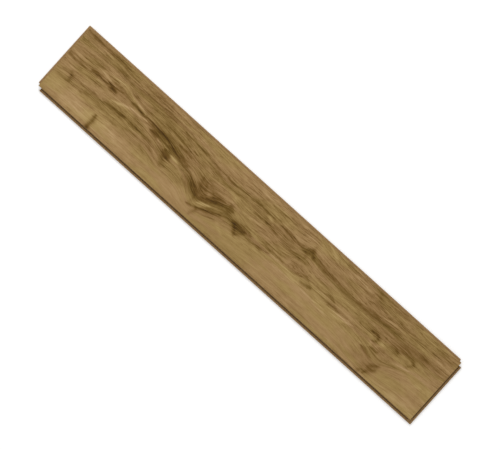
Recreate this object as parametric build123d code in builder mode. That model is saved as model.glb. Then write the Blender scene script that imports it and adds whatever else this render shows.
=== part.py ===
from build123d import *
import os
from math import radians, tan

# A laminate floor plank for a herringbone floor. One pressed board, milled on all
# four edges: a locking tongue along one long edge and one end, and the groove that
# takes it along the other long edge and the other end.
# Millimetres. X runs along the plank, Y across it and Z up out of the decor face.
# The origin is on the back, under the middle of the decor face, so the joint lines
# stand at half the face's length and width.

# The decor face from joint line to joint line, and the board's thickness
FACE_LENGTH = 650.0
FACE_WIDTH = 100.0
THICKNESS = 8.0
ARRIS = 0.3  # the face's edges are eased by this much all round

# The tongue. The mill runs off the face, so its height is set from the face down.
BUTT_DEPTH = 3.1  # from the face down to the top of the tongue
TONGUE_THICKNESS = 2.8
TONGUE_REACH = 3.0  # past the joint line
NOSE_TOP_RADIUS = 1.5  # the blunt upper side slides in under the next plank's face
NOSE_BOTTOM_RADIUS = 1.0

# The lock: a step on the groove's lower lip catches a notch behind the tongue.
LOCK_OFFSET = 1.0  # from the joint line to the foot of the sloping catch
LOCK_RISE = 1.1
LOCK_ANGLE = 50.0  # slope of the catch in degrees
LIP_REACH = 4.5  # lower lip past the joint line
LIP_TIP_RADIUS = 0.7

# Play in the closed joint
SEAT_PLAY = 0.05  # above and below the tongue, and at the catch
TIP_PLAY = 0.3  # before the tongue's nose and the lip's tip, where dust collects

# Radii that the milling cutters leave
ROOT_RADIUS = 0.3
BEAD_RADIUS = 0.5
GROOVE_RADIUS = 0.8

# Heights above the back, and how far in or out of the joint line things reach
tongue_top = THICKNESS - BUTT_DEPTH
tongue_bottom = tongue_top - TONGUE_THICKNESS
notch_top = tongue_bottom + LOCK_RISE
notch_depth = LIP_REACH + TIP_PLAY
groove_top = tongue_top + SEAT_PLAY
groove_bottom = tongue_bottom - SEAT_PLAY
groove_depth = TONGUE_REACH + TIP_PLAY
step_top = notch_top - SEAT_PLAY
step_foot = LOCK_OFFSET + SEAT_PLAY
catch_run = LOCK_RISE / tan(radians(LOCK_ANGLE))
nose_top_radius = min(NOSE_TOP_RADIUS, 0.55 * TONGUE_THICKNESS)
nose_bottom_radius = min(NOSE_BOTTOM_RADIUS, 0.4 * TONGUE_THICKNESS)

# Each edge is a list of corners from the face down to the back. A corner is its
# distance out from the joint line, its height and the radius that rounds it.
eased_face = [
    (-ARRIS, THICKNESS, 0),
    (0, THICKNESS - ARRIS, 0),
]
tongue_edge = eased_face + [
    (0, tongue_top, ROOT_RADIUS),
    (TONGUE_REACH, tongue_top, nose_top_radius),
    (TONGUE_REACH, tongue_bottom, nose_bottom_radius),
    (-LOCK_OFFSET, tongue_bottom, BEAD_RADIUS),
    (-LOCK_OFFSET - catch_run, notch_top, ROOT_RADIUS),
    (-notch_depth, notch_top, ROOT_RADIUS),
    (-notch_depth, 0, 0),
]
groove_edge = eased_face + [
    (0, groove_top, ROOT_RADIUS),
    (-groove_depth, groove_top, GROOVE_RADIUS),
    (-groove_depth, groove_bottom, GROOVE_RADIUS),
    (step_foot, groove_bottom, BEAD_RADIUS),
    (step_foot + catch_run, step_top, ROOT_RADIUS),
    (LIP_REACH, step_top, LIP_TIP_RADIUS),
    (LIP_REACH, 0, ROOT_RADIUS),
]


def board_section(face_size, tongue_side):
    """Outline of the board cut across two opposite edges, with the tongue on side +1 or -1."""
    joint_line = face_size / 2
    tongue = [(tongue_side * (joint_line + out), height) for out, height, radius in tongue_edge]
    groove = [(-tongue_side * (joint_line + out), height) for out, height, radius in groove_edge]
    radii = [radius for out, height, radius in tongue_edge + groove_edge[::-1]]
    return FilletPolyline(tongue + groove[::-1], radius=radii, close=True)


# The pressed sheet is cut a little larger than the plank, and the mill takes it back.
blank_length = FACE_LENGTH + 2 * (TONGUE_REACH + LIP_REACH)
blank_width = FACE_WIDTH + 2 * (TONGUE_REACH + LIP_REACH)

with BuildPart() as plank:
    # Long edges: the tongue along +Y and the groove along -Y
    with BuildSketch(Plane.YZ):
        with BuildLine():
            board_section(FACE_WIDTH, tongue_side=1)
        make_face()
    extrude(amount=blank_length / 2, both=True)
    # Ends: the tongue at -X and the groove at +X
    with BuildSketch(Plane.XZ):
        with BuildLine():
            board_section(FACE_LENGTH, tongue_side=-1)
        make_face()
    extrude(amount=blank_width / 2, both=True, mode=Mode.INTERSECT)

    # Where a lower lip runs out into the notch of the edge beside it, the cutters free
    # a crumb at its corner, which falls away. The board is the largest piece left.
    add(plank.solids().sort_by(SortBy.VOLUME)[-1], mode=Mode.REPLACE)

plank.part.label = "plank"
os.makedirs("parts", exist_ok=True)
export_step(plank.part, "parts/plank.step")
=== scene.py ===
import math

import bmesh
import bpy
import numpy as np
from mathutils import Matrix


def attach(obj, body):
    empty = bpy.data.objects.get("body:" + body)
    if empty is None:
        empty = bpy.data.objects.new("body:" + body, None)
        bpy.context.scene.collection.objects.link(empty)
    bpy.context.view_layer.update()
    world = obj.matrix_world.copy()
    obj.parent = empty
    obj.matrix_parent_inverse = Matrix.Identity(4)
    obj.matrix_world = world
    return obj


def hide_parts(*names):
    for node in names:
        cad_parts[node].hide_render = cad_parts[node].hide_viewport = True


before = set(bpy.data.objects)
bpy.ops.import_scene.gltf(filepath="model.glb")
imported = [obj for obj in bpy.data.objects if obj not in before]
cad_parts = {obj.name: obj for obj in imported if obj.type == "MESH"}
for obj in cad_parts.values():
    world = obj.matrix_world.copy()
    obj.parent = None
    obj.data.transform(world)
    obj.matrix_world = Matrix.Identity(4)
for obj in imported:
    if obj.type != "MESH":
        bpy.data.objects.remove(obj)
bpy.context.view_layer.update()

# A laminate floor plank, laid flat with its decor face up. Sizes here are in millimetres.
# X runs along the plank, Y across it, and the decor face is the top.
MM = 0.001

# The figure of the oak

# The decor paper is printed with one rustic board: a resin crack wanders in from the left
# end, sinks into a cluster of knots left of the middle, and breaks up into dashes to the
# right, with a small cathedral near the right end.

# The way the grain runs. Each line lists (along, across) places that one fibre passes.
# The number before it is the fibre's distance across the plank if nothing bent it.
FIBRES = [
    (-62.0, [(-326, -62), (-120, -62), (-72, -65), (-20, -62), (180, -61), (238, -64), (326, -61)]),
    (-38.0, [(-326, -38), (-240, -37), (-160, -36), (-110, -38), (-74, -43), (-40, -40), (10, -36),
             (90, -35), (170, -36), (238, -42), (280, -38), (326, -35)]),
    (-14.0, [(-326, -15), (-280, -11), (-240, -9), (-200, -8), (-165, -9.5), (-143, -15), (-120, -15),
             (-100, -20), (-88, -28), (-72, -34), (-55, -30.5), (-38, -24), (-18, -20), (0, -18),
             (25, -16), (50, -14.5), (75, -13.5), (104, -12.5), (130, -14.5), (150, -14.5),
             (180, -14), (200, -16), (216, -20), (232, -25), (246, -25), (262, -18), (283, -10),
             (303, -8), (326, -7)]),
    (4.0, [(-326, 9), (-300, 8.6), (-280, 12), (-250, 12.5), (-230, 15), (-200, 13.6), (-180, 12.6),
           (-162, 10), (-140, 5), (-120, -0.6), (-100, -4.4), (-85, -12.4), (-72, -17), (-60, -13.5),
           (-45, -8), (-31, -3.6), (-18, -5.5), (0, -8), (30, -7), (60, -7.6), (88, -7), (104, -5.5),
           (130, -3.5), (150, -4), (175, -4), (200, -5.5), (215, -4), (235, -4), (268, -4), (300, -1),
           (326, 1)]),
    (14.0, [(-326, 22), (-290, 24), (-262, 24.8), (-240, 25.4), (-224, 21.8), (-208, 18.6),
            (-180, 17.5), (-158, 16.2), (-138, 13.6), (-118, 10), (-95, 7), (-76, 4), (-56, 6),
            (-36, 7.5), (-12, 5), (20, 7), (60, 8), (84, 12), (100, 9.5), (130, 8.5), (180, 10),
            (205, 9.5), (236, 9.8), (262, 10.5), (283, 9), (303, 7), (326, 7)]),
    (31.0, [(-326, 36.4), (-285, 36.8), (-260, 35.6), (-238, 32.6), (-200, 33.4), (-140, 33.6),
            (-120, 32), (-100, 30.4), (-70, 26.8), (-40, 25.4), (0, 27.2), (40, 25), (68, 22.6),
            (84, 25.6), (105, 21.6), (130, 18), (165, 17), (200, 18.4), (224, 22), (262, 22.6),
            (300, 20.8), (326, 22.6)]),
    (43.0, [(-326, 46), (-240, 45), (-120, 41), (-40, 38), (30, 38), (84, 41.5), (140, 35),
            (200, 33), (262, 33), (326, 35)]),
    (60.0, [(-326, 62), (-60, 58), (84, 60), (200, 56), (326, 58)]),
]

# Dark resin streaks and cracks: how dark at most, then (along, across, half width).
STREAKS = [
    # the crack that comes in at the left end
    (0.58, [(-327, 9.2, 2.6), (-321, 9.0, 2.4), (-317, 8.6, 1.4)]),
    (0.62, [(-315, 8.4, 1.2), (-309, 8.1, 2.6), (-303, 8.2, 2.6), (-297, 8.6, 1.5), (-293, 9.4, 0.7)]),
    (0.84, [(-286.5, 12.0, 1.4), (-283, 12.4, 2.8), (-279, 12.6, 3.0), (-275, 12.2, 1.6),
            (-268, 12.0, 1.3), (-260, 11.8, 1.0)]),
    (0.92, [(-260, 15.0, 1.0), (-254, 13.7, 2.8), (-249.5, 11.8, 3.1), (-245, 10.2, 1.3)]),
    (0.30, [(-273, 14.4, 0.8), (-262, 15.6, 1.0), (-255, 15.2, 1.0)]),
    (0.34, [(-231, 16.4, 0.6), (-225, 15.8, 1.4), (-218, 15.2, 1.6), (-212, 14.8, 1.2)]),
    (0.76, [(-220, 15.4, 0.8), (-214, 15.0, 1.8), (-207, 14.2, 1.9), (-200, 13.6, 1.4),
            (-190, 13.0, 1.2), (-180, 12.8, 1.5), (-171, 11.9, 1.9), (-163, 10.6, 2.5),
            (-155, 9.6, 2.3), (-149, 7.6, 1.2)]),
    (0.62, [(-163, 4.6, 0.9), (-155, 4.2, 1.6), (-147, 3.9, 1.8), (-140, 4.2, 2.2)]),
    (0.95, [(-146, 6.2, 1.2), (-140, 4.8, 2.4), (-134, 3.8, 3.0), (-128, 2.0, 2.5), (-121, -0.2, 1.7),
            (-115, -1.8, 1.4)]),
    (0.50, [(-163, 11.4, 2.6), (-150, 10.8, 2.8), (-140, 8.8, 2.4), (-130, 6.6, 2.6), (-120, 4.0, 2.4),
            (-110, 1.0, 1.6)]),
    (1.00, [(-178, 4.6, 1.4), (-173, 4.8, 2.9), (-167.5, 4.4, 2.5), (-163, 4.2, 1.0)]),
    # it sinks into the big knot and climbs out again
    (0.64, [(-116, -1.2, 1.2), (-109, -2.6, 2.0), (-102, -3.8, 2.4), (-97, -6.8, 2.6), (-92, -10.4, 3.2),
            (-86, -14.2, 3.9), (-79, -17.0, 4.3), (-72, -18.0, 4.2), (-65, -15.8, 3.6), (-58, -12.0, 2.9),
            (-51, -8.8, 2.5), (-44, -6.6, 2.3), (-38, -4.8, 2.3), (-33, -3.4, 2.4)]),
    (0.72, [(-59, -6.6, 1.0), (-54, -4.2, 1.8), (-48, -2.4, 1.7), (-42, -1.6, 1.0)]),
    (0.34, [(-66, -15, 2.4), (-56, -11, 2.8), (-48, -8, 2.6), (-40, -5.6, 2.4), (-34, -3.6, 2.4)]),
    (0.62, [(-80.5, -34.4, 1.4), (-75, -33.4, 2.3), (-68, -31.4, 2.2), (-62, -29.4, 2.1),
            (-56, -26.8, 2.6), (-50, -24.0, 2.8), (-44, -21.0, 2.3), (-38, -17.6, 1.4)]),
    # the forked knot beside it
    (0.32, [(-39, -14.4, 1.6), (-31, -13.8, 2.8), (-24, -13.2, 3.0), (-17, -12.0, 2.6)]),
    (0.80, [(-19, -12.6, 1.6), (-13, -11.8, 2.8), (-7, -10.4, 2.8), (-1, -9.4, 2.6), (6, -9.8, 2.1),
            (12, -10.8, 1.0)]),
    # dashes to the right of the knots
    (0.62, [(8, -17.4, 1.2), (13.5, -17.0, 2.5), (19, -16.2, 1.8), (25, -15.4, 2.5), (31, -15.2, 2.4),
            (37, -14.2, 1.3), (43, -12.6, 1.0)]),
    (0.70, [(28, -6.8, 1.6), (33, -7.2, 3.0), (37.5, -7.4, 2.8), (42, -7.8, 1.4)]),
    (0.34, [(13, -5.0, 1.2), (20, -5.8, 1.8), (28, -6.8, 1.6)]),
    (0.44, [(42, -8.2, 1.6), (52, -8.0, 2.2), (60, -8.2, 2.0), (67, -8.4, 1.0)]),
    (0.50, [(72, -6.8, 1.2), (80, -7.2, 2.5), (87, -7.2, 2.5), (94, -7.0, 1.2)]),
    (0.58, [(95, -13.0, 1.2), (102, -12.2, 2.4), (109, -11.2, 2.5), (115, -10.4, 1.4)]),
    (0.30, [(100, -1.2, 1.2), (105, -3.6, 1.6), (110, -7, 1.8), (113, -10, 1.2)]),
    (0.58, [(133, -1.8, 1.4), (139, -0.8, 2.7), (145, -1.0, 2.4), (151, -3.4, 1.3)]),
    (0.40, [(130, -9.8, 1.0), (140, -8.8, 1.4), (148, -8.4, 1.4)]),
    (0.52, [(147, -8.6, 1.4), (153, -8.2, 2.6), (159, -8.4, 2.0), (166, -8.6, 1.0)]),
    # long lines above the crack
    (0.32, [(-262, 21.4, 0.9), (-251, 21.9, 1.2), (-240, 21.4, 1.2), (-231, 19.4, 1.0)]),
    (0.54, [(-143, 33.2, 1.2), (-132, 32.4, 1.9), (-120, 31.8, 2.4), (-108, 31.2, 2.3), (-98, 30.2, 1.9),
            (-86, 28.6, 1.6), (-76, 27.2, 1.6), (-66, 26.4, 1.9), (-55, 25.6, 2.8), (-46, 25.4, 2.0),
            (-38, 25.6, 2.1), (-31, 25.8, 2.8), (-22, 26.2, 1.6), (-13, 26.8, 2.3), (-6, 27.0, 2.0),
            (6, 27.6, 1.2), (20, 28.0, 0.9)]),
    (0.50, [(-146, 23.6, 1.2), (-136, 23.2, 2.0), (-126, 22.6, 2.3), (-117, 21.4, 1.7),
            (-108, 20.4, 0.9)]),
    (0.42, [(-136, 14.9, 1.0), (-125, 14.6, 1.8), (-114, 13.2, 1.0)]),
    (0.48, [(-4, 16.2, 1.6), (8, 16.0, 2.3), (20, 15.2, 2.0), (32, 14.0, 1.5), (44, 12.8, 1.6),
            (54, 12.0, 2.5), (62, 11.2, 3.1), (70, 10.4, 2.9), (77, 9.6, 1.6)]),
    (0.50, [(34, 25.4, 1.2), (44, 24.2, 2.3), (54, 22.8, 2.8), (64, 22.0, 2.9), (72, 21.6, 2.3),
            (78, 21.0, 1.4)]),
    (0.32, [(38, 42.0, 1.2), (50, 41.6, 2.0), (60, 41.4, 2.1), (68, 41.6, 1.2)]),
    # the dark band that runs out of the upper knot to the right end
    (0.24, [(91, 23, 2.4), (99, 21.6, 3.0), (107, 20.2, 3.2), (114, 19.4, 2.4)]),
    (0.14, [(112, 19.4, 1.8), (124, 18.8, 2.4), (136, 17.6, 3.0), (150, 17.2, 3.4), (165, 17.0, 3.8),
            (180, 17.2, 3.8), (194, 17.9, 3.4), (206, 19.8, 2.8)]),
    (0.20, [(204, 19.6, 1.8), (214, 21.2, 2.8), (221, 21.8, 3.8), (229, 22.4, 3.0), (240, 22.6, 2.0)]),
    (0.22, [(236, 22.6, 2.6), (256, 22.2, 3.4), (270, 21.6, 3.4), (284, 21.0, 3.0), (292, 20.6, 2.6)]),
    (0.30, [(288, 20.6, 2.2), (296, 20.6, 3.2), (307, 20.6, 3.4), (314, 21.4, 2.8), (321, 22.4, 3.2),
            (328, 22.8, 3.0)]),
    (0.34, [(184, 30.6, 1.4), (196, 31.4, 2.3), (208, 31.8, 1.4)]),
    (0.34, [(214, 30.6, 1.2), (228, 31.2, 2.0), (240, 31.4, 2.1), (252, 31.2, 2.0), (264, 30.6, 1.4)]),
    # the cathedral
    (0.46, [(190, -6.4, 1.2), (197, -6.4, 2.2), (204, -5.8, 2.3), (210, -4.4, 1.2)]),
    (0.52, [(211, 2.6, 1.4), (215.5, 3.8, 2.4), (220, 3.9, 2.5), (223.2, 2.0, 2.1), (224.2, -1.0, 1.9),
            (223, -4.4, 2.1), (219, -6.6, 1.6)]),
    (0.42, [(232, 8.4, 1.2), (240, 8.6, 2.2), (248, 8.2, 2.5), (253, 5.6, 2.1), (256, 2.4, 1.6)]),
    (0.34, [(244, 1.0, 1.2), (251, 0.4, 2.1), (258, -0.6, 1.6)]),
    (0.46, [(256, 9.6, 1.4), (265, 9.9, 2.4), (273, 9.6, 2.5), (278.6, 8.0, 2.1), (280.6, 5.2, 1.7)]),
    (0.30, [(280.8, 5.6, 1.5), (280.2, 2.6, 1.6), (276.6, -0.8, 1.6), (271, -2.6, 1.3),
            (265, -3.6, 0.9)]),
    (0.20, [(262, -10.4, 0.8), (270, -9.6, 1.1), (279, -7.4, 0.8)]),
    (0.46, [(222, -14.8, 1.4), (229, -14.4, 2.5), (236, -13.4, 1.4)]),
    (0.54, [(213, -20.0, 1.0), (219, -21.2, 2.0), (225, -22.8, 2.5), (229, -24.2, 2.1),
            (233, -25.4, 0.9)]),
    # the olive line that starts left of the split across the grain
    (0.26, [(-285, -10.4, 1.4), (-272, -10.8, 2.2), (-256, -10.4, 2.2), (-244, -9.6, 1.6)]),
    (0.64, [(-247, -8.9, 1.0), (-239, -8.2, 2.0), (-231, -7.4, 2.3), (-223, -6.8, 2.2),
            (-215, -6.2, 1.2)]),
    (0.28, [(-216, -6.6, 1.6), (-200, -7.0, 2.6), (-184, -7.2, 2.4), (-168, -7.6, 2.0)]),
]

# Splits and knot arms that run across the grain, in the same form
SPLITS = [
    (1.10, [(-243.4, -28.6, 1.4), (-243.3, -32, 2.1), (-242.8, -37, 2.3), (-242.9, -43, 2.2),
            (-242.6, -53, 2.4)]),
    (0.34, [(-84.5, 6.0, 1.4), (-83.4, 0.5, 2.0), (-81.5, -5, 2.3), (-78, -10, 2.3)]),
    (0.26, [(-77.5, 3.0, 1.0), (-74, -1.4, 1.6), (-71.6, -6.0, 1.8), (-69, -11, 1.6)]),
    (0.22, [(-66, 2.0, 1.0), (-63, -1.5, 1.4), (-61, -6.0, 1.4)]),
    (0.40, [(-305, -6.0, 1.2), (-302.6, -9.6, 2.2), (-300.8, -13.2, 3.4), (-300.2, -17.5, 1.8)]),
    (0.24, [(-99, -5.8, 1.8), (-92, -10.4, 2.8), (-85, -15.0, 3.4), (-78, -17.4, 3.8), (-71, -17.8, 3.8),
            (-64, -15.2, 3.4), (-56, -11.4, 2.8), (-48, -8.0, 2.6), (-40, -5.4, 2.2)]),
    (0.18, [(-79, -34.2, 1.6), (-72, -32.6, 2.2), (-62, -29.4, 2.2), (-54, -26.0, 2.6),
            (-46, -22.2, 2.2)]),
    (0.34, [(-35.4, -4.8, 1.8), (-31.6, -3.0, 3.6), (-27.4, -3.4, 2.4)]),
    (0.45, [(-66, -32, 1.6), (-66.8, -36, 2.0), (-68, -40, 2.4), (-69, -44, 1.2)]),
    (0.28, [(-78.4, -19, 1.6), (-78.6, -25, 1.8), (-79.4, -31, 1.6)]),
    (0.66, [(-15.6, -14, 2.0), (-12, -18, 2.5), (-8.6, -22.4, 2.5), (-7.2, -26, 1.4)]),
    (0.46, [(2.5, -12.5, 2.4), (0, -16, 2.6), (-3, -20, 2.4), (-6, -24, 1.6)]),
    # small marks of the crack at the left
    (0.12, [(-284, 12.4, 1.8), (-280, 12.6, 2.6), (-276, 12.4, 1.6)]),
    (0.16, [(-256, 14.4, 1.4), (-251.5, 12.4, 2.8), (-247.5, 11.0, 2.2)]),
    (0.26, [(-177, 4.6, 1.4), (-172, 4.7, 2.6), (-167, 4.4, 2.2)]),
    # hooks and a loop in the cathedral
    (0.14, [(212, 3.0, 1.4), (217, 4.2, 2.2), (221.6, 3.4, 2.3), (224, 0, 2.0), (223, -4, 2.0),
            (219.5, -6.4, 1.4)]),
    (0.10, [(231, 8.2, 1.2), (240, 8.8, 2.0), (248, 8.4, 2.2), (253.4, 5.8, 2.0), (256, 2.6, 1.6)]),
    (0.15, [(257, 9.2, 1.6), (265, 9.9, 2.2), (273, 9.8, 2.4), (278.8, 8.0, 2.2), (280.8, 4.8, 1.8),
            (279, 1.6, 1.6), (274, -1.4, 1.4)]),
    # the upper knot, an upturned V with a tail
    (0.36, [(84.6, 36.5, 1.4), (84.8, 31.5, 2.6), (85.4, 27, 3.2)]),
    (0.48, [(83, 29, 2.4), (79.8, 25.0, 2.8), (77.8, 21.0, 2.4)]),
    (0.50, [(86, 29, 2.6), (88.8, 24.6, 2.8), (91.4, 21.0, 2.2)]),
    (0.30, [(82.4, 22.5, 1.6), (82, 18.5, 2.2), (82.4, 14.6, 1.2)]),
    # the knot on the lower edge near the right end
    (0.44, [(248.5, -25.5, 2.2), (244.5, -28.5, 3.4), (241.5, -32.0, 3.4), (238.6, -35.5, 2.4)]),
    (0.70, [(248.4, -32.4, 1.3), (245.4, -35.4, 2.6), (242.4, -38.6, 2.9), (239.4, -42.0, 2.2),
            (237.6, -46, 1.6)]),
    (0.50, [(234, -42.8, 1.4), (231.6, -45.8, 2.4), (230, -50, 2.2)]),
]

# Broad soft shadows in the print, in the same form
SHADES = [
    (0.74, [(-312, 46.6, 2.4), (-292, 46.8, 3.0), (-270, 46.4, 3.2), (-248, 45.4, 2.6),
            (-232, 44.6, 1.8)]),
    (0.60, [(-328, 36.2, 2.8), (-306, 36.4, 3.2), (-285, 36.6, 3.6), (-264, 36.0, 3.0),
            (-250, 34.6, 2.6)]),
    (0.50, [(-256, 34.8, 1.8), (-244, 33.4, 2.4), (-232, 30.0, 2.4), (-221, 26.4, 2.0),
            (-212, 23.6, 1.2)]),
    (0.50, [(-226, 45, 2.6), (-205, 43, 4.4), (-185, 42, 4.4), (-164, 43, 3.0)]),
    (0.40, [(-205, 27.5, 2.4), (-190, 28, 4.2), (-175, 27.4, 3.4), (-160, 27, 2.4)]),
    (0.22, [(-200, 17.4, 2.4), (-180, 18, 3.4), (-158, 17, 3.6), (-136, 15, 2.6)]),
    (0.34, [(-176, 12, 2.4), (-158, 10.4, 4.2), (-142, 8, 4.6), (-126, 5, 4.2), (-108, 1, 3.0)]),
    (0.62, [(94, 22.4, 4.2), (130, 18.6, 5.4), (165, 17.6, 5.6), (200, 18.8, 5.4), (225, 20.4, 6.2),
            (250, 18, 8.6), (275, 18, 8.0), (300, 20, 5.2), (328, 21.6, 4.6)]),
    (0.34, [(-290, -11, 2.2), (-262, -11.4, 3.4), (-238, -9.4, 3.2), (-205, -7, 3.6),
            (-170, -7.6, 3.0)]),
    (0.32, [(-206, -15.8, 1.8), (-185, -15.8, 2.8), (-162, -15.4, 2.6)]),
    (0.22, [(-282, -16, 2.4), (-262, -16.6, 2.6), (-238, -16, 2.0)]),
    (0.24, [(-262, -1, 2.0), (-245, 0, 3.0), (-226, 0.4, 3.0), (-205, 1.6, 2.6), (-190, 2, 2.0)]),
    (0.26, [(-327, -14, 4.0), (-316, -16, 5.0), (-306, -20, 5.0), (-298, -24, 3.6)]),
    (0.40, [(-142, -12, 4.4), (-141, -17, 4.6), (-138.6, -22, 3.4)]),
    (0.26, [(-134, -9.6, 1.8), (-118, -12.4, 2.6), (-104, -17.4, 2.4), (-94, -23, 1.8)]),
    (0.30, [(-112, -7, 2.0), (-100, -12, 3.0), (-91, -18, 3.0), (-84, -24, 2.4)]),
    (0.20, [(-92, -30, 4.0), (-86, -38, 5.0), (-84, -46, 4.0)]),
    (0.30, [(-62, -34, 2.4), (-50, -30, 3.4), (-38, -25, 3.0), (-28, -20, 2.0)]),
    (0.34, [(-40, -10, 2.4), (-26, -9, 3.0), (-12, -7, 3.0), (2, -6.4, 2.0)]),
    (0.24, [(122, 38, 2.4), (132, 38.4, 3.6), (140, 37.4, 2.4)]),
    (0.24, [(224, 12, 2.4), (240, 14, 4.4), (262, 15, 4.0)]),
    (0.24, [(60, -34.6, 2.4), (66.5, -35.6, 4.0), (73, -35, 2.4)]),
    (0.24, [(79, -35.6, 2.4), (88, -35.6, 4.0), (98, -34.8, 2.4)]),
    (0.22, [(-92, 8, 2.4), (-80, 6, 4.4), (-70, 6, 4.4), (-60, 4, 3.0)]),
    (0.26, [(2, 42.6, 3.0), (30, 41.6, 4.0), (50, 40.6, 5.0), (70, 40.4, 3.0)]),
    (0.20, [(28, 34.6, 4.0), (48, 33.6, 5.0), (66, 31.4, 4.0)]),
    (0.46, [(38, 3, 2.6), (52, 0, 4.8), (70, -0.6, 5.4), (88, -1, 4.8), (100, -2, 3.0)]),
    (0.24, [(60, 16, 2.6), (72, 14, 3.6), (86, 12, 2.8)]),
    (0.26, [(-10, 12, 2.4), (10, 16, 3.2), (34, 15, 3.0), (56, 16, 3.0)]),
    (0.28, [(168, 4.4, 1.8), (180, 4.2, 2.6), (196, 3.6, 2.6), (208, 2.4, 2.0)]),
    (0.20, [(166, -1.6, 1.8), (184, -1.8, 2.4), (204, -2, 1.8)]),
    (0.24, [(258, 34, 2.4), (282, 33, 3.4), (306, 34, 2.4)]),
    (0.34, [(247, -28, 4.0), (239, -33, 5.0), (232, -38, 4.4), (226, -43, 3.0)]),
    (0.26, [(212, -27, 3.0), (222, -28, 4.6), (232, -28, 4.0)]),
    (0.20, [(190, -42, 2.4), (202, -40, 3.6), (216, -38, 2.4)]),
    (0.26, [(228, -8, 2.4), (240, -9, 4.4), (252, -10, 4.4), (258, -5, 2.4)]),
]

# Pale fibres and lenses, in the same form
PALE = [
    (1.25, [(-270, 24.0, 0.9), (-262, 25.0, 1.5), (-250, 25.6, 1.8), (-239, 25.6, 1.7),
            (-228, 23.0, 1.7), (-218, 20.4, 1.9), (-209, 18.0, 1.6), (-198, 16.2, 1.0)]),
    (0.8, [(-275, 19.6, 0.8), (-267, 18.8, 1.2), (-258, 17.6, 1.1), (-250, 16.2, 0.8)]),
    (0.6, [(-272, 22.6, 0.7), (-260, 23.2, 1.0), (-246, 23.6, 0.8)]),
    (0.3, [(-302, 31.0, 1.2), (-280, 30.6, 1.8), (-258, 29.8, 1.4)]),
    (1.1, [(-241, 0.4, 0.9), (-233, 2.6, 1.6), (-225, 5.0, 1.7), (-217, 7.8, 1.7), (-209, 9.6, 1.8),
           (-199, 9.8, 1.4), (-190, 9.6, 0.8)]),
    (0.8, [(-273, 7.4, 0.8), (-266, 8.2, 1.3), (-258, 8.6, 1.1)]),
    (0.5, [(-284, -7.0, 1.0), (-272, -7.0, 1.4), (-260, -6.4, 1.0)]),
    (0.8, [(-162, 0.8, 0.8), (-153, 0.6, 1.1), (-144, 0.8, 0.8)]),
    (0.35, [(-205, -11, 1.2), (-188, -11, 1.6), (-170, -11.4, 1.2)]),
    (0.5, [(-275, -33, 1.6), (-262, -33.4, 2.2), (-250, -33, 1.6)]),
    (0.4, [(-272, -41, 1.4), (-260, -41, 1.8), (-250, -40.6, 1.2)]),
    (0.4, [(-236, -30, 1.4), (-225, -32, 2.4), (-214, -33, 1.4)]),
    (0.35, [(-205, -39, 1.4), (-188, -40, 2.0), (-170, -40, 1.4)]),
    (0.35, [(-235, 29.6, 1.2), (-215, 29.5, 1.6), (-196, 29, 1.2)]),
    (0.35, [(-142, 11.6, 0.8), (-130, 10.4, 0.9), (-118, 9.2, 0.8), (-104, 8, 0.6)]),
    (0.40, [(-142, 19.2, 1.0), (-125, 18.2, 1.4), (-106, 16.6, 1.0)]),
    (1.2, [(-135, -2.8, 1.8), (-129, -4.0, 2.8), (-122, -5.6, 1.8)]),
    (0.5, [(-162, -12, 1.0), (-153, -14, 1.6), (-146, -17.6, 1.2)]),
    (0.45, [(-133, -8.4, 0.9), (-121, -9.4, 1.3), (-110, -12.0, 0.9)]),
    (1.7, [(-70, -25.6, 1.4), (-64, -23.2, 2.9), (-56, -19.4, 1.9)]),
    (0.35, [(-101, -19.5, 1.2), (-95, -26, 2.2), (-88, -31, 1.4)]),
    (0.35, [(-38, 13, 2.0), (-37, 8, 2.6), (-38, 3.5, 1.6)]),
    (0.35, [(2, 8.6, 1.6), (25, 8.0, 2.4), (48, 5.8, 1.6)]),
    (0.80, [(12, 25.4, 1.8), (16, 22.6, 2.6), (21.5, 19.2, 1.6)]),
    (0.35, [(-36, -26, 1.8), (-27, -32, 2.4), (-20, -36, 1.6)]),
    (0.55, [(45, -11.4, 0.9), (60, -12.0, 1.5), (78, -12.0, 1.5), (94, -11.4, 0.8)]),
    (0.75, [(128, -19.2, 0.9), (142, -18.0, 1.4), (156, -16.2, 1.6), (168, -14.0, 1.6),
            (180, -11.6, 1.4), (190, -9.6, 0.8)]),
    (0.60, [(146, -11.8, 0.8), (158, -11.4, 1.2), (170, -10.4, 1.2), (180, -8.8, 0.8)]),
    (0.40, [(128, -23, 0.9), (142, -22.6, 1.4), (158, -21, 0.9)]),
    (0.55, [(148, 9.0, 1.2), (162, 8.8, 1.8), (178, 8.4, 1.4)]),
    (0.50, [(184, 11.4, 1.2), (196, 11.2, 1.8), (208, 10.0, 1.2)]),
    (0.60, [(214, 26.4, 1.0), (226, 28.6, 1.4), (240, 28.4, 1.5), (254, 27.2, 1.0)]),
    (0.80, [(263, -8.4, 0.9), (270, -7.4, 1.5), (276, -5.6, 1.4), (282, -3.6, 0.9)]),
    (0.35, [(294, 29.5, 1.2), (308, 30, 2.2), (322, 29.5, 1.8)]),
    (0.60, [(230, 2, 1.6), (232, -3, 2.4), (229, -8.6, 1.8)]),
    (0.50, [(219, -9.4, 1.2), (221, -12.0, 1.8), (219, -15.0, 1.2)]),
    (0.40, [(180, -17.6, 1.0), (196, -18.4, 1.5), (210, -18.0, 1.2)]),
    (0.40, [(262, 5.2, 1.4), (268, 5.0, 2.2), (275, 4.4, 1.6)]),
]

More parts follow.
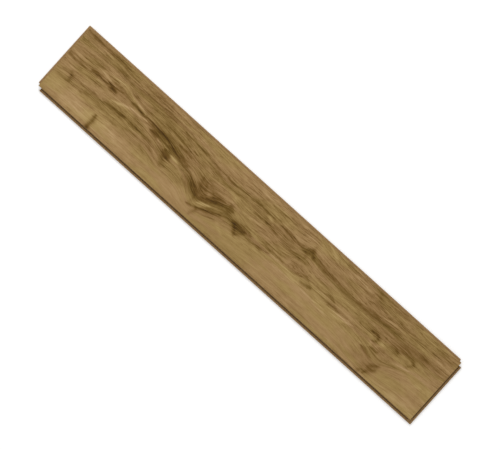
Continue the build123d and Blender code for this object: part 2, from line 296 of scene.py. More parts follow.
# Knots: (along, across, half length, half width, turn in degrees, how dark)
KNOTS = [
    (-300.8, -12.6, 3.4, 4.8, 20, 0.34),  # near the left end
    (-145.6, -4.4, 5.4, 4.2, 15, 0.80),  # a heart left of the big knot
    (-140.6, -8.4, 5.0, 4.6, 0, 0.92),
    (-138.6, -4.0, 3.4, 3.4, 0, 0.40),
    (-73.0, -3.0, 14.0, 10.0, 8, 0.22),  # the big knot's grey eye
    (-31.4, -3.0, 4.6, 4.8, 0, 1.20),
    (-6.0, -14.6, 7.0, 5.4, 0, 0.66),
    (84.4, 25.6, 7.0, 6.4, 0, 0.16),  # the upper knot
    (-54.0, 9.6, 2.6, 2.2, 0, 0.45),
    (240.0, -35.0, 9.0, 6.0, 60, 0.12),
]

# Washes of the whole tone: (along, across, half length, half width, lighter or darker)
WASHES = [
    (-275, -38, 55, 12, 1.10),
    (-318, -40, 12, 12, 0.30),
    (-304, 2, 20, 6, 0.35),
    (-255, 20, 34, 7, -0.45),
    (-290, 22, 34, 8, -0.45),
    (-215, 26, 50, 7, -0.45),
    (-285, 4, 30, 6, -0.20),
    (-228, 0, 40, 6, -0.66),
    (-316, 30, 16, 10, -0.15),
    (-62, 20, 66, 9, -0.85),
    (20, 22, 40, 8, -0.40),
    (308, 40, 26, 10, -1.20),
    (300, 18, 34, 8, -0.30),
    (255, 12, 30, 9, -0.25),
    (-160, -17, 60, 8, -0.75),
    (105, -18, 40, 9, 0.45),
    (155, 2, 34, 7, 0.50),
    (262, -42, 26, 8, 0.60),
    (308, -40, 22, 9, 0.30),
    (-215, -36, 44, 10, 0.75),
    (-115, -34, 40, 13, 0.50),
    (60, -30, 105, 13, 0.50),
    (60, -16, 70, 6, 0.45),
    (60, 4, 60, 6, 0.30),
    (165, -27, 50, 12, 0.25),
    (300, -18, 34, 20, 0.45),
    (-100, 41, 54, 8, 0.60),
    (-30, 14, 22, 6, 0.15),
    (200, 40, 46, 9, -0.55),
    (100, 40, 30, 9, 0.60),
    (50, 40, 34, 9, -0.10),
    (-240, 42, 66, 9, -0.42),
    (-195, 44, 36, 7, -0.40),
    (-175, 30, 60, 9, -0.45),
    (-168, 17, 34, 9, -0.35),
    (-72, -7, 28, 13, -0.58),
    (-104, -20, 22, 8, -0.35),
    (-36, -18, 16, 10, -0.45),
    (-56, -22, 20, 7, -0.40),
    (-104, 1, 40, 7, 0.25),
    (150, 40, 24, 8, 0.35),
    (-4, -15, 13, 9, -0.45),
    (-144, -6, 17, 10, -0.20),
    (232, -30, 22, 10, -0.40),
    (84, 24, 26, 9, -0.10),
    (-302, -14, 15, 11, -0.25),
    (60, 22, 60, 8, -0.20),
    (75, -3, 45, 5, -0.20),
    (215, -4, 26, 8, -0.15),
    (215, 24, 55, 8, 0.25),
    (280, 34, 60, 7, -0.30),
    (146, 22, 26, 8, -0.38),
]

# Quiet ground, where the grain hardly shows: (along, across, half length, half width,
# how quiet). Below zero it is livelier instead, as along the upper edge.
QUIET = [
    (-210, 42, 130, 11, -0.60),
    (150, 42, 190, 11, -0.45),
    (-250, -38, 90, 14, 0.75),
    (-110, -38, 60, 16, 1.00),
    (-20, -42, 60, 12, 0.8),
    (75, -30, 95, 14, 0.8),
    (170, -34, 60, 15, 0.8),
    (300, -26, 46, 26, 0.95),
    (236, -34, 30, 14, 0.6),
    (-60, 42, 50, 9, 0.5),
    (20, 0, 40, 6, 0.4),
    (150, 18, 80, 8, 0.30),
    (258, 14, 40, 9, 0.40),
]

# How the figure is drawn

# A split and a soft shadow are mostly plain dark washes. The first number of each is the
# part that the fibres fray, and the others are how dark its wash and its halo are.
SPLIT_FRAYED = 0.14
SPLIT_WASH = 2.1
SPLIT_HALO = 0.4
SHADE_FRAYED = 0.55
SHADE_WASH = 0.9

LENGTHWISE = 0.6  # how far a stain creeps across the grain, for each millimetre along it
HALO = 3.6  # how many half widths a stain reaches
THINNEST = 0.4  # half width of the thinnest stroke
STROKE_STEPS = 5  # straight steps drawn for each point of a stroke
SHORTEST = 1e-9  # a step's squared length at least, so that nothing is divided by zero
CORE_FADE = 1.4  # how fast a stroke's dark core fades out of its middle
STAIN_FADE = 0.9  # how fast the stain around it does
KNOT_FADE = 0.9  # the same for a knot
KNOT_STAIN_FADE = 1.1
KNOT_STAIN = 0.7  # the strongest stain around a knot
FAR_OUT = 9.0  # half widths from a stroke, or radii from a knot, that nothing reaches

# Nothing drawn keeps a ruled edge. Places are nudged in patches, each list giving how far,
# the patch's length and width, and its seed. What runs across the grain bends less.
FIBRE_NUDGES = [(1.6, 70, 13, 1), (0.6, 24, 5, 2)]
ALONG_NUDGES = [(1.6, 12, 2.6, 3), (1.0, 5, 1.2, 4)]
ACROSS_NUDGES = [(0.7, 17, 7, 5), (0.6, 5, 2.4, 6)]
SPLIT_NUDGES = [(0.7, 16, 9, 7), (0.35, 5, 3, 8)]
PATCHES_TO_REPEAT = 97  # the patches repeat after so many along and across
MIDDLE_PATCH = 40  # the patch that the plank's middle falls in


def eased(t):
    """Goes smoothly from 0 to 1 as t does."""
    return t * t * (3 - 2 * t)


def flowing(points, x):
    """The height at each x of a smooth line through the points."""
    px, py = np.array(points, float).T
    slope = np.gradient(py, px)
    i = np.clip(np.searchsorted(px, x) - 1, 0, len(px) - 2)
    width = px[i + 1] - px[i]
    t = np.clip((x - px[i]) / width, 0, 1)
    swing = width * (slope[i] * t * (1 - t) ** 2 - slope[i + 1] * t * t * (1 - t))
    return py[i] * (1 - eased(t)) + py[i + 1] * eased(t) + swing


def wander(x, y, along, across, seed):
    """Smooth chance from -1 to 1, in patches of a given length and width."""
    n = PATCHES_TO_REPEAT
    chance = np.random.default_rng(seed).uniform(-1, 1, (n, n))
    u, v = x / along + MIDDLE_PATCH, y / across + MIDDLE_PATCH
    i, j = np.floor(u).astype(int), np.floor(v).astype(int)
    s, t = eased(u - i), eased(v - j)
    i, j, i1, j1 = i % n, j % n, (i + 1) % n, (j + 1) % n
    low = chance[i, j] * (1 - s) + chance[i1, j] * s
    return low * (1 - t) + (chance[i, j1] * (1 - s) + chance[i1, j1] * s) * t


def nudge(x, y, nudges):
    """How far each place is nudged by a list of patches."""
    return sum(far * wander(x, y, along, across, seed) for far, along, across, seed in nudges)


def stroke(x, y, points):
    """A stroke's dark core and the stain around it, each 1 in the middle and 0 far out."""
    steps = range(len(points))
    fine = np.linspace(0, len(points) - 1, STROKE_STEPS * len(points))
    px, py, half = (flowing(list(zip(steps, column)), fine) for column in zip(*points))
    half = np.maximum(half, THINNEST)
    reach = HALO * half.max()
    near = (
        (x > px.min() - reach / LENGTHWISE) & (x < px.max() + reach / LENGTHWISE)
        & (y > py.min() - reach) & (y < py.max() + reach)
    )
    xs, ys = x[near], y[near]
    out = np.full(xs.shape, FAR_OUT)
    for k in range(len(fine) - 1):
        dx, dy = (px[k + 1] - px[k]) * LENGTHWISE, py[k + 1] - py[k]
        ox, oy = (xs - px[k]) * LENGTHWISE, ys - py[k]
        t = np.clip((ox * dx + oy * dy) / max(dx * dx + dy * dy, SHORTEST), 0, 1)
        gap = np.hypot(ox - t * dx, oy - t * dy)
        out = np.minimum(out, gap / (half[k] + t * (half[k + 1] - half[k])))
    core, stain = np.zeros(x.shape), np.zeros(x.shape)
    core[near] = np.exp(-CORE_FADE * out * out)
    stain[near] = np.exp(-STAIN_FADE * out) * np.clip(HALO - out, 0, 1)
    return core, stain


def drawn(x, y, strokes):
    """All the strokes of a list laid over each other: their cores and their stains."""
    clear_core, clear_stain, extra = np.ones(x.shape), np.ones(x.shape), np.zeros(x.shape)
    for strength, points in strokes:
        core, stain = stroke(x, y, points)
        clear_core *= 1 - min(strength, 1) * core
        clear_stain *= 1 - min(strength, 1) * stain
        extra = np.maximum(extra, max(strength - 1, 0) * core)
    return 1 - clear_core + extra, 1 - clear_stain


def patches(x, y, spots):
    """The sum of soft oval patches."""
    total = np.zeros(x.shape)
    for along, across, length, width, level in spots:
        total += level * np.exp(-(((x - along) / length) ** 2 + ((y - across) / width) ** 2))
    return total


def radii_out(x, y, along, across, length, width, turn):
    """How far out of a knot's middle a place is, where 1 is the knot's rim."""
    c, s = math.cos(math.radians(turn)), math.sin(math.radians(turn))
    u, v = (x - along) * c + (y - across) * s, (y - across) * c - (x - along) * s
    return np.hypot(u / length, v / width)


def fibre_place(columns, rows):
    """For each column and row of the face, the place across the plank of the fibre there."""
    held = [straight for straight, course in FIBRES]
    bent = np.array([flowing(course, columns) for straight, course in FIBRES])
    return np.array([np.interp(rows, bent[:, k], held) for k in range(len(columns))])


# The board's skin

# Each face is numbered by the surface that it belongs to, which is also the place of its
# material in the plank's list.
PRINTED, MILLED, BACK = range(3)
FACE_STEP_ALONG = 1.5  # finer across, where the grain and cracks are narrow
FACE_STEP_ACROSS = 0.5
TOUCHING = 1e-6  # metres
DOWNWARD = -0.9  # a normal's height below which a face looks down


def merged_copy(name):
    """A CAD node's loose triangles as one closed skin."""
    skin = bmesh.new()
    skin.from_mesh(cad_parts[name].data)
    bmesh.ops.remove_doubles(skin, verts=skin.verts, dist=TOUCHING)
    return skin


def board_mesh():
    """The plank's skin, with its decor face and eased edge laid out again in small steps."""
    skin = merged_copy("plank")
    top = max(v.co.z for v in skin.verts)
    low = min(v.co.z for v in skin.verts)
    on_top = [v for v in skin.verts if v.co.z > top - TOUCHING]
    far = np.array([v.co[:2] for v in on_top])
    (x0, y0), (x1, y1) = far.min(0), far.max(0)
    bmesh.ops.delete(skin, geom=on_top, context="VERTS")
    skin.verts.index_update()
    rim = [v for v in skin.verts if any(e.is_boundary for e in v.link_edges)]
    verts = [tuple(v.co) for v in skin.verts]
    faces = [[v.index for v in f.verts] for f in skin.faces]
    surface = []
    for f in skin.faces:
        looks_down = f.calc_center_median().z < low + TOUCHING and f.normal.z < DOWNWARD
        surface.append(BACK if looks_down else MILLED)

    nx = round((x1 - x0) / (FACE_STEP_ALONG * MM))
    ny = round((y1 - y0) / (FACE_STEP_ACROSS * MM))
    columns, rows = np.linspace(x0, x1, nx + 1), np.linspace(y0, y1, ny + 1)
    first = len(verts)
    gx, gy = np.meshgrid(columns, rows, indexing="ij")
    verts += np.stack([gx.ravel(), gy.ravel(), np.full(gx.size, top)], 1).tolist()
    at = first + np.arange(gx.size).reshape(gx.shape)
    quads = np.stack([at[:-1, :-1], at[1:, :-1], at[1:, 1:], at[:-1, 1:]], -1).reshape(-1, 4)
    faces += quads.tolist()

    # The eased edge joins the face's fine border to the four corners of the butt faces.
    borders = [at[:, 0], at[-1, :], at[::-1, -1], at[0, ::-1]]
    corners = []
    for x, y in ((x0, y0), (x1, y0), (x1, y1), (x0, y1)):
        corners.append(min(rim, key=lambda v: (v.co.x - x) ** 2 + (v.co.y - y) ** 2).index)
    for side, border in enumerate(borders):
        a, b = corners[side], corners[(side + 1) % 4]
        half = len(border) // 2
        for k in range(len(border) - 1):
            faces.append([int(border[k + 1]), int(border[k]), a if k < half else b])
        faces.append([int(border[half]), a, b])
    surface += [PRINTED] * (len(faces) - len(surface))
    skin.free()

    mesh = bpy.data.meshes.new("laid_board")
    mesh.from_pydata(verts, [], faces)
    mesh.update()
    part_of = mesh.attributes.new("surface", "INT", "FACE")
    part_of.data.foreach_set("value", np.array(surface, np.int32))
    print_figure(mesh, first, columns / MM, rows / MM)
    return mesh


def print_figure(mesh, first, columns, rows):
    """Writes on the decor face's points where the grain runs and what is drawn there."""
    x, y = (a.ravel() for a in np.meshgrid(columns, rows, indexing="ij"))
    across = fibre_place(columns, rows).ravel() + nudge(x, y, FIBRE_NUDGES)
    x1, y1 = x + nudge(x, y, ALONG_NUDGES), y + nudge(x, y, ACROSS_NUDGES)
    core, stain = drawn(x1, y1, STREAKS)
    split_core, split_stain = drawn(x + nudge(x, y, SPLIT_NUDGES), y, SPLITS)
    core = np.maximum(core, SPLIT_FRAYED * split_core)
    stain = 1 - (1 - stain) * (1 - SPLIT_FRAYED * split_stain)
    shade_core, shade_stain = drawn(x1, y1, SHADES)
    stain = 1 - (1 - stain) * (1 - SHADE_FRAYED * shade_stain)
    ring = np.full(x.shape, FAR_OUT)
    for along, over, length, width, turn, dark in KNOTS:
        r = radii_out(x1, y1, along, over, length, width, turn)
        core = core + dark * np.exp(-KNOT_FADE * r * r)
        stain = 1 - (1 - stain) * (1 - min(dark, KNOT_STAIN) * np.exp(-KNOT_STAIN_FADE * r))
        ring = np.minimum(ring, r)
    pale = drawn(x1, y1, PALE)[0]
    wash = patches(x1, y1, WASHES) - SPLIT_WASH * split_core - SPLIT_HALO * split_stain
    wash -= SHADE_WASH * shade_core
    lively = 1 - np.minimum(patches(x1, y1, QUIET), 1)
    inner = np.zeros((len(columns), len(rows)))
    inner[1:-1, 1:-1] = 1  # the border isn't pressed, so that it meets the eased edge
    for name, parts in (
        ("grain", (x, across, ring)),
        ("figure", (core, stain, pale)),
        ("tone", (wash, lively, inner.ravel())),
    ):
        values = np.zeros((len(mesh.vertices), 3), np.float32)
        values[first : first + len(x)] = np.stack(parts, 1)
        made = mesh.attributes.new(name, "FLOAT_VECTOR", "POINT")
        made.data.foreach_set("vector", values.ravel())


# Colours and nodes


def linear(code):
    """An sRGB hex colour as linear red, green, blue and alpha."""
    parts = [int(code[i : i + 2], 16) / 255 for i in (1, 3, 5)]
    return (*(c / 12.92 if c <= 0.04045 else ((c + 0.055) / 1.055) ** 2.4 for c in parts), 1.0)


def node(tree, kind, *values, inputs=None, **settings):
    """Adds one node with its settings. Each input is a value, or a node or socket to link."""
    made = tree.nodes.new(kind)
    for name, setting in settings.items():
        setattr(made, name, setting)
    for place, value in {**dict(enumerate(values)), **(inputs or {})}.items():
        if isinstance(value, bpy.types.Node):
            value = next(socket for socket in value.outputs if socket.enabled)
        if isinstance(value, bpy.types.NodeSocket):
            tree.links.new(value, made.inputs[place])
        else:
            made.inputs[place].default_value = value
    return made


def weighed(tree, start, *parts):
    """A start, plus each part times its share."""
    for share, part in parts:
        start = node(tree, "ShaderNodeMath", part, share, start, operation="MULTIPLY_ADD")
    return start


def layered(tree, ground, *layers):
    """A ground colour, with others laid over it in turn.

    Each comes in smoothly, from nothing to its most, as a pattern goes from start to end.
    """
    colour = linear(ground)
    for pattern, start, end, most, code in layers:
        share = node(tree, "ShaderNodeMapRange", pattern, start, end, 0.0, most,
                     interpolation_type="SMOOTHSTEP")
        colour = node(tree, "ShaderNodeMix", data_type="RGBA",
                      inputs={0: share, 6: colour, 7: linear(code)})
    return colour


NOISE_WAY = (1.0, 1.7, 2.3)  # the way that patterns are shifted, so that no two are alike


def stretched_noise(tree, place, size, detail, roughness=0.5, shift=0.0):
    """Chance from -1 to 1, in spots of a size in millimetres along each direction of place."""
    finer = tuple(1 / length for length in size) + (0,) * (3 - len(size))
    apart = tuple(shift * way for way in NOISE_WAY)
    scaled = node(tree, "ShaderNodeVectorMath", place, finer, operation="MULTIPLY")
    shifted = node(tree, "ShaderNodeVectorMath", scaled, apart, operation="ADD")
    spots = node(tree, "ShaderNodeTexNoise",
                 inputs={"Vector": shifted, "Scale": 1.0, "Detail": detail, "Roughness": roughness})
    return node(tree, "ShaderNodeMath", spots, 2.0, -1.0, operation="MULTIPLY_ADD")


# The grain's own sizes, along and across it. Oak's pores are about 0.3 mm wide and its
# fibres far finer. They are drawn at 0.5 and 0.4 mm here, because finer ones don't show at
# the size the plank is seen.
BAND = (150, 10)  # growth zones
STREAK = (52, 3.4)
LINE = (100, 2.0)  # late wood
FIBRE = (22, 1.5)  # bundles of fibres
PORE = (7, 0.5)
HAIR = (20, 0.4)  # the finest fibres
SHRED = (17, 1.9)  # the torn rim of a dark streak
MOTTLE = (11, 4.5)
BLOTCH = (45, 14)
HUE = (55, 13)  # yellower and pinker wood


def grain_lines(tree, grain):
    """Dark late-wood lines, from 0 to 1, in the print and in the pressed relief alike."""
    lines = stretched_noise(tree, grain, LINE, detail=3, roughness=0.65, shift=3.1)
    return node(tree, "ShaderNodeMapRange", lines, 0.06, 0.28, interpolation_type="SMOOTHSTEP")


# The pressed relief

LINE_DEPTH = 0.06
CRACK_DEPTH = 0.22
KNOT_DEPTH = 0.16


def relief_tree(materials):
    """Presses the grain, cracks and knots into the decor face, and dresses each surface."""
    tree = bpy.data.node_groups.new("pressed_relief", "GeometryNodeTree")
    tree.interface.new_socket("Geometry", in_out="INPUT", socket_type="NodeSocketGeometry")
    tree.interface.new_socket("Geometry", in_out="OUTPUT", socket_type="NodeSocketGeometry")
    depths = {}
    for name in ("Line depth", "Crack depth", "Knot depth"):
        depth = tree.interface.new_socket(name, in_out="INPUT", socket_type="NodeSocketFloat")
        depths[name] = depth.identifier
    start = node(tree, "NodeGroupInput").outputs
    grain, figure, tone = (
        node(tree, "GeometryNodeInputNamedAttribute", name, data_type="FLOAT_VECTOR")
        for name in ("grain", "figure", "tone")
    )
    core = node(tree, "ShaderNodeSeparateXYZ", figure).outputs[0]
    ring = node(tree, "ShaderNodeSeparateXYZ", grain).outputs[2]
    inner = node(tree, "ShaderNodeSeparateXYZ", tone).outputs[2]
    cracked = node(tree, "ShaderNodeMapRange", core, 0.35, 0.8, interpolation_type="SMOOTHSTEP")
    in_knot = node(tree, "ShaderNodeMapRange", ring, 1.1, 0.4, interpolation_type="SMOOTHSTEP")
    cracks = node(tree, "ShaderNodeMath", cracked, start["Crack depth"], operation="MULTIPLY")
    knots = node(tree, "ShaderNodeMath", in_knot, start["Knot depth"], operation="MULTIPLY")
    deepest = node(tree, "ShaderNodeMath", cracks, knots, operation="MAXIMUM")
    depth = node(tree, "ShaderNodeMath", grain_lines(tree, grain), start["Line depth"], deepest,
                 operation="MULTIPLY_ADD")
    pressed = node(tree, "ShaderNodeMath", depth, inner, operation="MULTIPLY")
    down = node(tree, "ShaderNodeMath", pressed, -1.0, operation="MULTIPLY")
    body = node(tree, "GeometryNodeSetPosition", start["Geometry"],
                inputs={"Offset": node(tree, "ShaderNodeCombineXYZ", inputs={2: down})})
    body = node(tree, "GeometryNodeRealizeInstances", body)
    part_of = node(tree, "GeometryNodeInputNamedAttribute", "surface", data_type="INT")
    for index, material in enumerate(materials):
        chosen = node(tree, "FunctionNodeCompare", inputs={2: part_of, 3: index},
                      data_type="INT", operation="EQUAL")
        body = node(tree, "GeometryNodeSetMaterial", body, chosen, material)
    node(tree, "NodeGroupOutput", body)
    return tree, depths


# Materials


def cleared_tree(owner):
    """The empty node tree of a new material or world."""
    owner.use_nodes = True
    owner.node_tree.nodes.clear()
    return owner.node_tree


def place_on_board(tree):
    """Where a point of the plank lies, in millimetres."""
    place = node(tree, "ShaderNodeTexCoord").outputs["Object"]
    return node(tree, "ShaderNodeVectorMath", place, (1 / MM,) * 3, operation="MULTIPLY")


RESIN_IOR = 1.5  # typical of resin, and of wood fibre too


def surfaced(tree, colour, roughness, specular, relief, height, strength):
    """Joins a material's colour, gloss and finest relief in its shader."""
    bump = node(tree, "ShaderNodeBump",
                inputs={"Strength": strength, "Distance": height * MM, "Height": relief})
    shader = node(tree, "ShaderNodeBsdfPrincipled", inputs={
        "Base Color": colour,
        "Roughness": roughness,
        "IOR": RESIN_IOR,
        "Specular IOR Level": specular,
        "Normal": bump,
    })
    node(tree, "ShaderNodeOutputMaterial", shader)


# The print's tones, from the darkest resin to the palest fibre
OAK_TONES = [
    (0.00, "#3c2504"),
    (0.15, "#52380b"),
    (0.30, "#694d1d"),
    (0.45, "#7d6033"),
    (0.60, "#927448"),
    (0.75, "#a28456"),
    (1.00, "#bb9e70"),
]
PLAIN_TONE = 0.685  # where plain wood lies on that scale
QUIET_GRAIN = 0.38  # the share of the grain that still shows on quiet ground
KNOT_RING = 1 / 3.4  # a ring's width, in a knot's radius
DARKEST = 1.1  # where the darkest core is cut off


def oak_print():
    """Melamine-coated decor paper printed with rustic oak and pressed to match it.

    To the eye it is a warm brown with fine dark lines, dark soft-edged knots and a satin
    surface that is duller in the pores.
    """
    material = bpy.data.materials.new("oak_print_melamine")
    tree = cleared_tree(material)
    grain, figure, tone = (
        node(tree, "ShaderNodeAttribute", attribute_name=name).outputs["Vector"]
        for name in ("grain", "figure", "tone")
    )
    ring = node(tree, "ShaderNodeSeparateXYZ", grain).outputs[2]
    core, stain, pale = node(tree, "ShaderNodeSeparateXYZ", figure).outputs
    wash, lively = node(tree, "ShaderNodeSeparateXYZ", tone).outputs[:2]

    bands = stretched_noise(tree, grain, BAND, detail=2, shift=1.3)
    streaks = stretched_noise(tree, grain, STREAK, detail=2.5, roughness=0.6, shift=7.7)
    fibres = stretched_noise(tree, grain, FIBRE, detail=2, roughness=0.6, shift=5.7)
    shreds = stretched_noise(tree, grain, SHRED, detail=3, roughness=0.62, shift=31.7)
    hairs = stretched_noise(tree, grain, HAIR, detail=2, roughness=0.6, shift=27.1)
    mottle = stretched_noise(tree, grain, MOTTLE, detail=3, roughness=0.6, shift=17.3)
    blotch = stretched_noise(tree, grain, BLOTCH, detail=2, shift=12.9)
    pores = stretched_noise(tree, grain, PORE, detail=1.5, shift=8.4)
    pores = node(tree, "ShaderNodeMapRange", pores, 0.16, 0.36, interpolation_type="SMOOTHSTEP")
    dark_hairs = node(tree, "ShaderNodeMapRange", hairs, 0.04, 0.24, interpolation_type="SMOOTHSTEP")
    pale_hairs = node(tree, "ShaderNodeMapRange", hairs, -0.10, -0.30, interpolation_type="SMOOTHSTEP")

    # a knot has rings
    outward = node(tree, "ShaderNodeCombineXYZ", ring)
    rings = stretched_noise(tree, outward, (KNOT_RING,), detail=2)
    in_knot = node(tree, "ShaderNodeMapRange", ring, 2.6, 0.8, interpolation_type="SMOOTHSTEP")
    ringed = node(tree, "ShaderNodeMath", rings, in_knot, operation="MULTIPLY")

    # a streak is torn along the grain into dark shreds, with stained fibres beside them
    torn = weighed(tree, 1.0, (0.35, ringed), (0.35, streaks), (0.85, shreds))
    frayed = weighed(tree, 0.0, (0.40, shreds), (0.30, hairs))
    dark = node(tree, "ShaderNodeMath", core, torn, operation="MULTIPLY")
    dark = node(tree, "ShaderNodeMath", dark, DARKEST, operation="MINIMUM")
    dark_shreds = node(tree, "ShaderNodeMath", frayed, dark, operation="ADD")
    dark_shreds = node(tree, "ShaderNodeMapRange", dark_shreds, 0.30, 0.56, interpolation_type="SMOOTHSTEP")
    stained = node(tree, "ShaderNodeMath", stain, torn, operation="MULTIPLY")
    stained_shreds = node(tree, "ShaderNodeMath", frayed, stained, operation="ADD")
    stained_shreds = node(tree, "ShaderNodeMapRange", stained_shreds, 0.16, 0.46,
                          interpolation_type="SMOOTHSTEP")
    pale_fibres = node(tree, "ShaderNodeMath", fibres, 0.8, 1.0, operation="MULTIPLY_ADD")
    pale_fibres = node(tree, "ShaderNodeMath", pale, pale_fibres, operation="MULTIPLY")

    lined = weighed(
        tree, 0.0, (0.20, bands), (0.18, streaks), (0.20, fibres), (0.08, shreds),
        (-0.14, grain_lines(tree, grain)), (-0.17, pores), (-0.14, dark_hairs), (0.08, pale_hairs),
    )
    showing = node(tree, "ShaderNodeMath", lively, 1 - QUIET_GRAIN, QUIET_GRAIN, operation="MULTIPLY_ADD")
    level = node(tree, "ShaderNodeMath", lined, showing, PLAIN_TONE, operation="MULTIPLY_ADD")
    level = weighed(
        tree, level, (0.10, blotch), (0.12, mottle), (0.15, wash), (0.22, pale_fibres),
        (-0.09, stained), (-0.11, stained_shreds), (-0.055, dark), (-0.085, dark_shreds),
    )
    ramp = node(tree, "ShaderNodeValToRGB", level)
    stops = ramp.color_ramp.elements
    stops.remove(stops[1])
    for place, code in OAK_TONES:
        stop = stops[0] if place == 0 else stops.new(place)
        stop.color = linear(code)
    hue = stretched_noise(tree, grain, HUE, detail=1, shift=21.0)
    tint = layered(tree, "#f7fbed", (hue, -0.24, 0.24, 1.0, "#fdfbff"))
    colour = node(tree, "ShaderNodeMix", data_type="RGBA", blend_type="MULTIPLY",
                  inputs={0: 1.0, 6: ramp, 7: tint})
    satin = node(tree, "ShaderNodeMath", pores, 0.10, 0.52, operation="MULTIPLY_ADD")
    relief = weighed(tree, 0.0, (0.35, fibres), (-1.0, pores))
    surfaced(tree, colour, roughness=satin, specular=0.12, relief=relief, height=0.1, strength=0.35)
    return material


# The bare fibreboard's sizes. Its fibres lie flat, in thin layers. They are drawn several
# times as coarse as they are, so that they show.
FLECK = (0.8, 0.8, 0.25)
CUT_LAYER = (40, 40, 0.25)
BOARD_CLOUD = (14, 14, 14)
DECOR_PAPER = (7.50, 7.56)  # heights between which the edge turns to melamine and paper
BACK_PAPER = (0.22, 0.14)


def fibreboard():
    """Bare high-density fibreboard, as the milling cutters leave it on the locking edges.

    To the eye it is a matt mid brown, flecked with pale and dark wood fibres, with a
    darker hair line where the pressed papers are cut through.
    """
    material = bpy.data.materials.new("milled_fibreboard")
    tree = cleared_tree(material)
    place = place_on_board(tree)
    flecks = stretched_noise(tree, place, FLECK, detail=4, roughness=0.75)
    clouds = stretched_noise(tree, place, BOARD_CLOUD, detail=2)
    cuts = stretched_noise(tree, place, CUT_LAYER, detail=1)
    height = node(tree, "ShaderNodeSeparateXYZ", place).outputs[2]
    colour = layered(
        tree, "#77592f",
        (flecks, -0.32, 0.32, 1.0, "#ab8a5e"),
        (clouds, -0.30, 0.30, 0.30, "#8e6f48"),
        (cuts, -0.30, 0.50, 0.25, "#745633"),
        (height, *DECOR_PAPER, 1.0, "#4b3019"),
        (height, *BACK_PAPER, 1.0, "#8c7453"),
    )
    relief = node(tree, "ShaderNodeMath", flecks, cuts, operation="ADD")
    surfaced(tree, colour, roughness=0.78, specular=0.3, relief=relief, height=0.04, strength=0.5)
    return material


# The balancing paper's sizes. Its hair lines are drawn wider than they are, to show.
PAPER_CLOUD = (9, 9, 9)
PAPER_HAIR = (7, 0.8)


def balancing_paper():
    """The plain melamine balancing paper on the back, which keeps the board flat.

    To the eye it is a dull grey beige with faint clouds of fibre and hair lines along it.
    """
    material = bpy.data.materials.new("balancing_paper")
    tree = cleared_tree(material)
    place = place_on_board(tree)
    clouds = stretched_noise(tree, place, PAPER_CLOUD, detail=4, roughness=0.6)
    hairs = stretched_noise(tree, place, PAPER_HAIR, detail=2)
    colour = layered(
        tree, "#aa987e",
        (clouds, -0.4, 0.4, 1.0, "#b5a489"),
        (hairs, 0.1, 0.5, 0.35, "#968466"),
    )
    surfaced(tree, colour, roughness=0.62, specular=0.35, relief=hairs, height=0.025, strength=0.3)
    return material


# The plank

SHARP_ANGLE = 24.0  # degrees between faces past which an edge stays crisp


def in_scene(name, data):
    """A new object, put in the scene."""
    made = bpy.data.objects.new(name, data)
    bpy.context.scene.collection.objects.link(made)
    return made


def make_plank():
    """The dressed plank, pressed and turned into one plain mesh."""
    tree, depths = relief_tree([oak_print(), fibreboard(), balancing_paper()])
    blank = in_scene("blank", board_mesh())
    press = blank.modifiers.new("press", "NODES")
    press.node_group = tree
    press[depths["Line depth"]] = LINE_DEPTH * MM
    press[depths["Crack depth"]] = CRACK_DEPTH * MM
    press[depths["Knot depth"]] = KNOT_DEPTH * MM
    shown = blank.evaluated_get(bpy.context.evaluated_depsgraph_get())
    mesh = bpy.data.meshes.new_from_object(shown)
    bpy.data.objects.remove(blank)
    mesh.name = "laminate_board"
    mesh.polygons.foreach_set("use_smooth", np.ones(len(mesh.polygons), bool))
    mesh.set_sharp_from_angle(angle=math.radians(SHARP_ANGLE))
    plank = in_scene("laminate_board", mesh)
    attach(plank, "root")
    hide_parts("plank")


# The floor and the light, in metres

WORLD_LIGHT = 0.72  # the light that falls from all round
FLOOR_SIDE = 12.0
FLOOR_DROP = 0.00005  # the floor lies this much under the plank's back
FLOOR_PAINT = 0.8  # the share of light that the pale paint gives back
FLOOR_LIFT = 0.30  # glow that brings the lit floor up to white for the camera
LAMP_PLACE = (-1.3, 1.6, 2.0)
LAMP_SIZE = 1.2
LAMP_POWER = 34  # watts


def white_where_seen(tree):
    """1 for what the camera sees by itself, in a gloss or through glass, and 0 elsewhere."""
    path = node(tree, "ShaderNodeLightPath").outputs
    seen = node(tree, "ShaderNodeMath", path["Is Camera Ray"], path["Is Glossy Ray"], operation="ADD")
    return node(tree, "ShaderNodeMath", seen, path["Is Transmission Ray"], operation="ADD", use_clamp=True)


def make_world():
    """Even white light from all round, which the camera sees as plain white."""
    world = bpy.data.worlds.new("studio")
    bpy.context.scene.world = world
    tree = cleared_tree(world)
    strength = node(tree, "ShaderNodeMapRange", white_where_seen(tree), 0.0, 1.0, WORLD_LIGHT, 1.0)
    light = node(tree, "ShaderNodeBackground", (1, 1, 1, 1), strength)
    node(tree, "ShaderNodeOutputWorld", light)


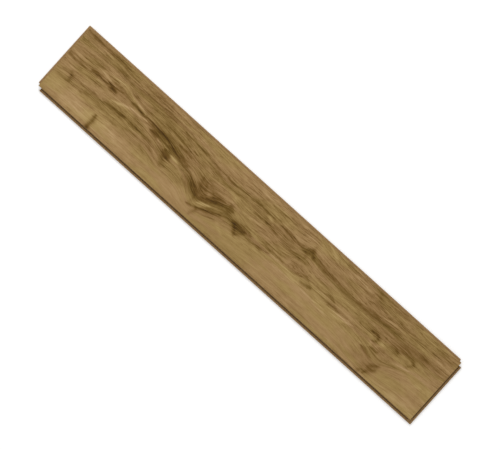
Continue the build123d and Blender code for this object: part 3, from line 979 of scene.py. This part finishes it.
def make_floor():
    """A pale floor that the camera sees as white, apart from the plank's soft shadow."""
    mesh = bpy.data.meshes.new("floor")
    half = FLOOR_SIDE / 2
    corners = [(-half, -half), (half, -half), (half, half), (-half, half)]
    mesh.from_pydata([(x, y, -FLOOR_DROP) for x, y in corners], [], [range(4)])
    material = bpy.data.materials.new("pale_floor")
    tree = cleared_tree(material)
    paint = node(tree, "ShaderNodeBsdfDiffuse", (FLOOR_PAINT, FLOOR_PAINT, FLOOR_PAINT, 1))
    lift = node(tree, "ShaderNodeMath", white_where_seen(tree), FLOOR_LIFT, operation="MULTIPLY")
    glow = node(tree, "ShaderNodeEmission", (1, 1, 1, 1), lift)
    node(tree, "ShaderNodeOutputMaterial", node(tree, "ShaderNodeAddShader", paint, glow))
    mesh.materials.append(material)
    floor = in_scene("floor", mesh)


def make_lamp():
    """A soft lamp that looks at the plank's middle."""
    lamp = bpy.data.lights.new("key", "AREA")
    lamp.shape = "DISK"
    lamp.size = LAMP_SIZE
    lamp.energy = LAMP_POWER
    held = in_scene("key", lamp)
    held.location = LAMP_PLACE
    held.rotation_mode = "QUATERNION"
    held.rotation_quaternion = (-held.location).to_track_quat("-Z", "Y")


# The camera, in millimetres again

VIEW_TURN = 42.0  # degrees: the plank runs down to the right, as in the photograph
VIEW_CENTRE = (0.7, -0.8)
VIEW_LENS = 180.0
SENSOR = 36.0
PICTURE_WIDTH = 500  # pixels
MM_PER_PIXEL = 1.30
FACE_HEIGHT = 8.0
NEAREST_SEEN = 50
FURTHEST_SEEN = 100000


def make_camera():
    """Looks straight down through a long lens, so that the plank's sides stay out of sight."""
    lens = bpy.data.cameras.new("straight_down")
    lens.lens = VIEW_LENS
    lens.sensor_width = SENSOR
    lens.clip_start = NEAREST_SEEN * MM
    lens.clip_end = FURTHEST_SEEN * MM
    camera = in_scene("straight_down", lens)
    height = FACE_HEIGHT + PICTURE_WIDTH * MM_PER_PIXEL * VIEW_LENS / SENSOR
    camera.location = (VIEW_CENTRE[0] * MM, VIEW_CENTRE[1] * MM, height * MM)
    camera.rotation_euler = (0, 0, math.radians(VIEW_TURN))
    bpy.context.scene.camera = camera


make_plank()
make_world()
make_floor()
make_lamp()
make_camera()
bpy.context.scene.view_settings.view_transform = "Standard"
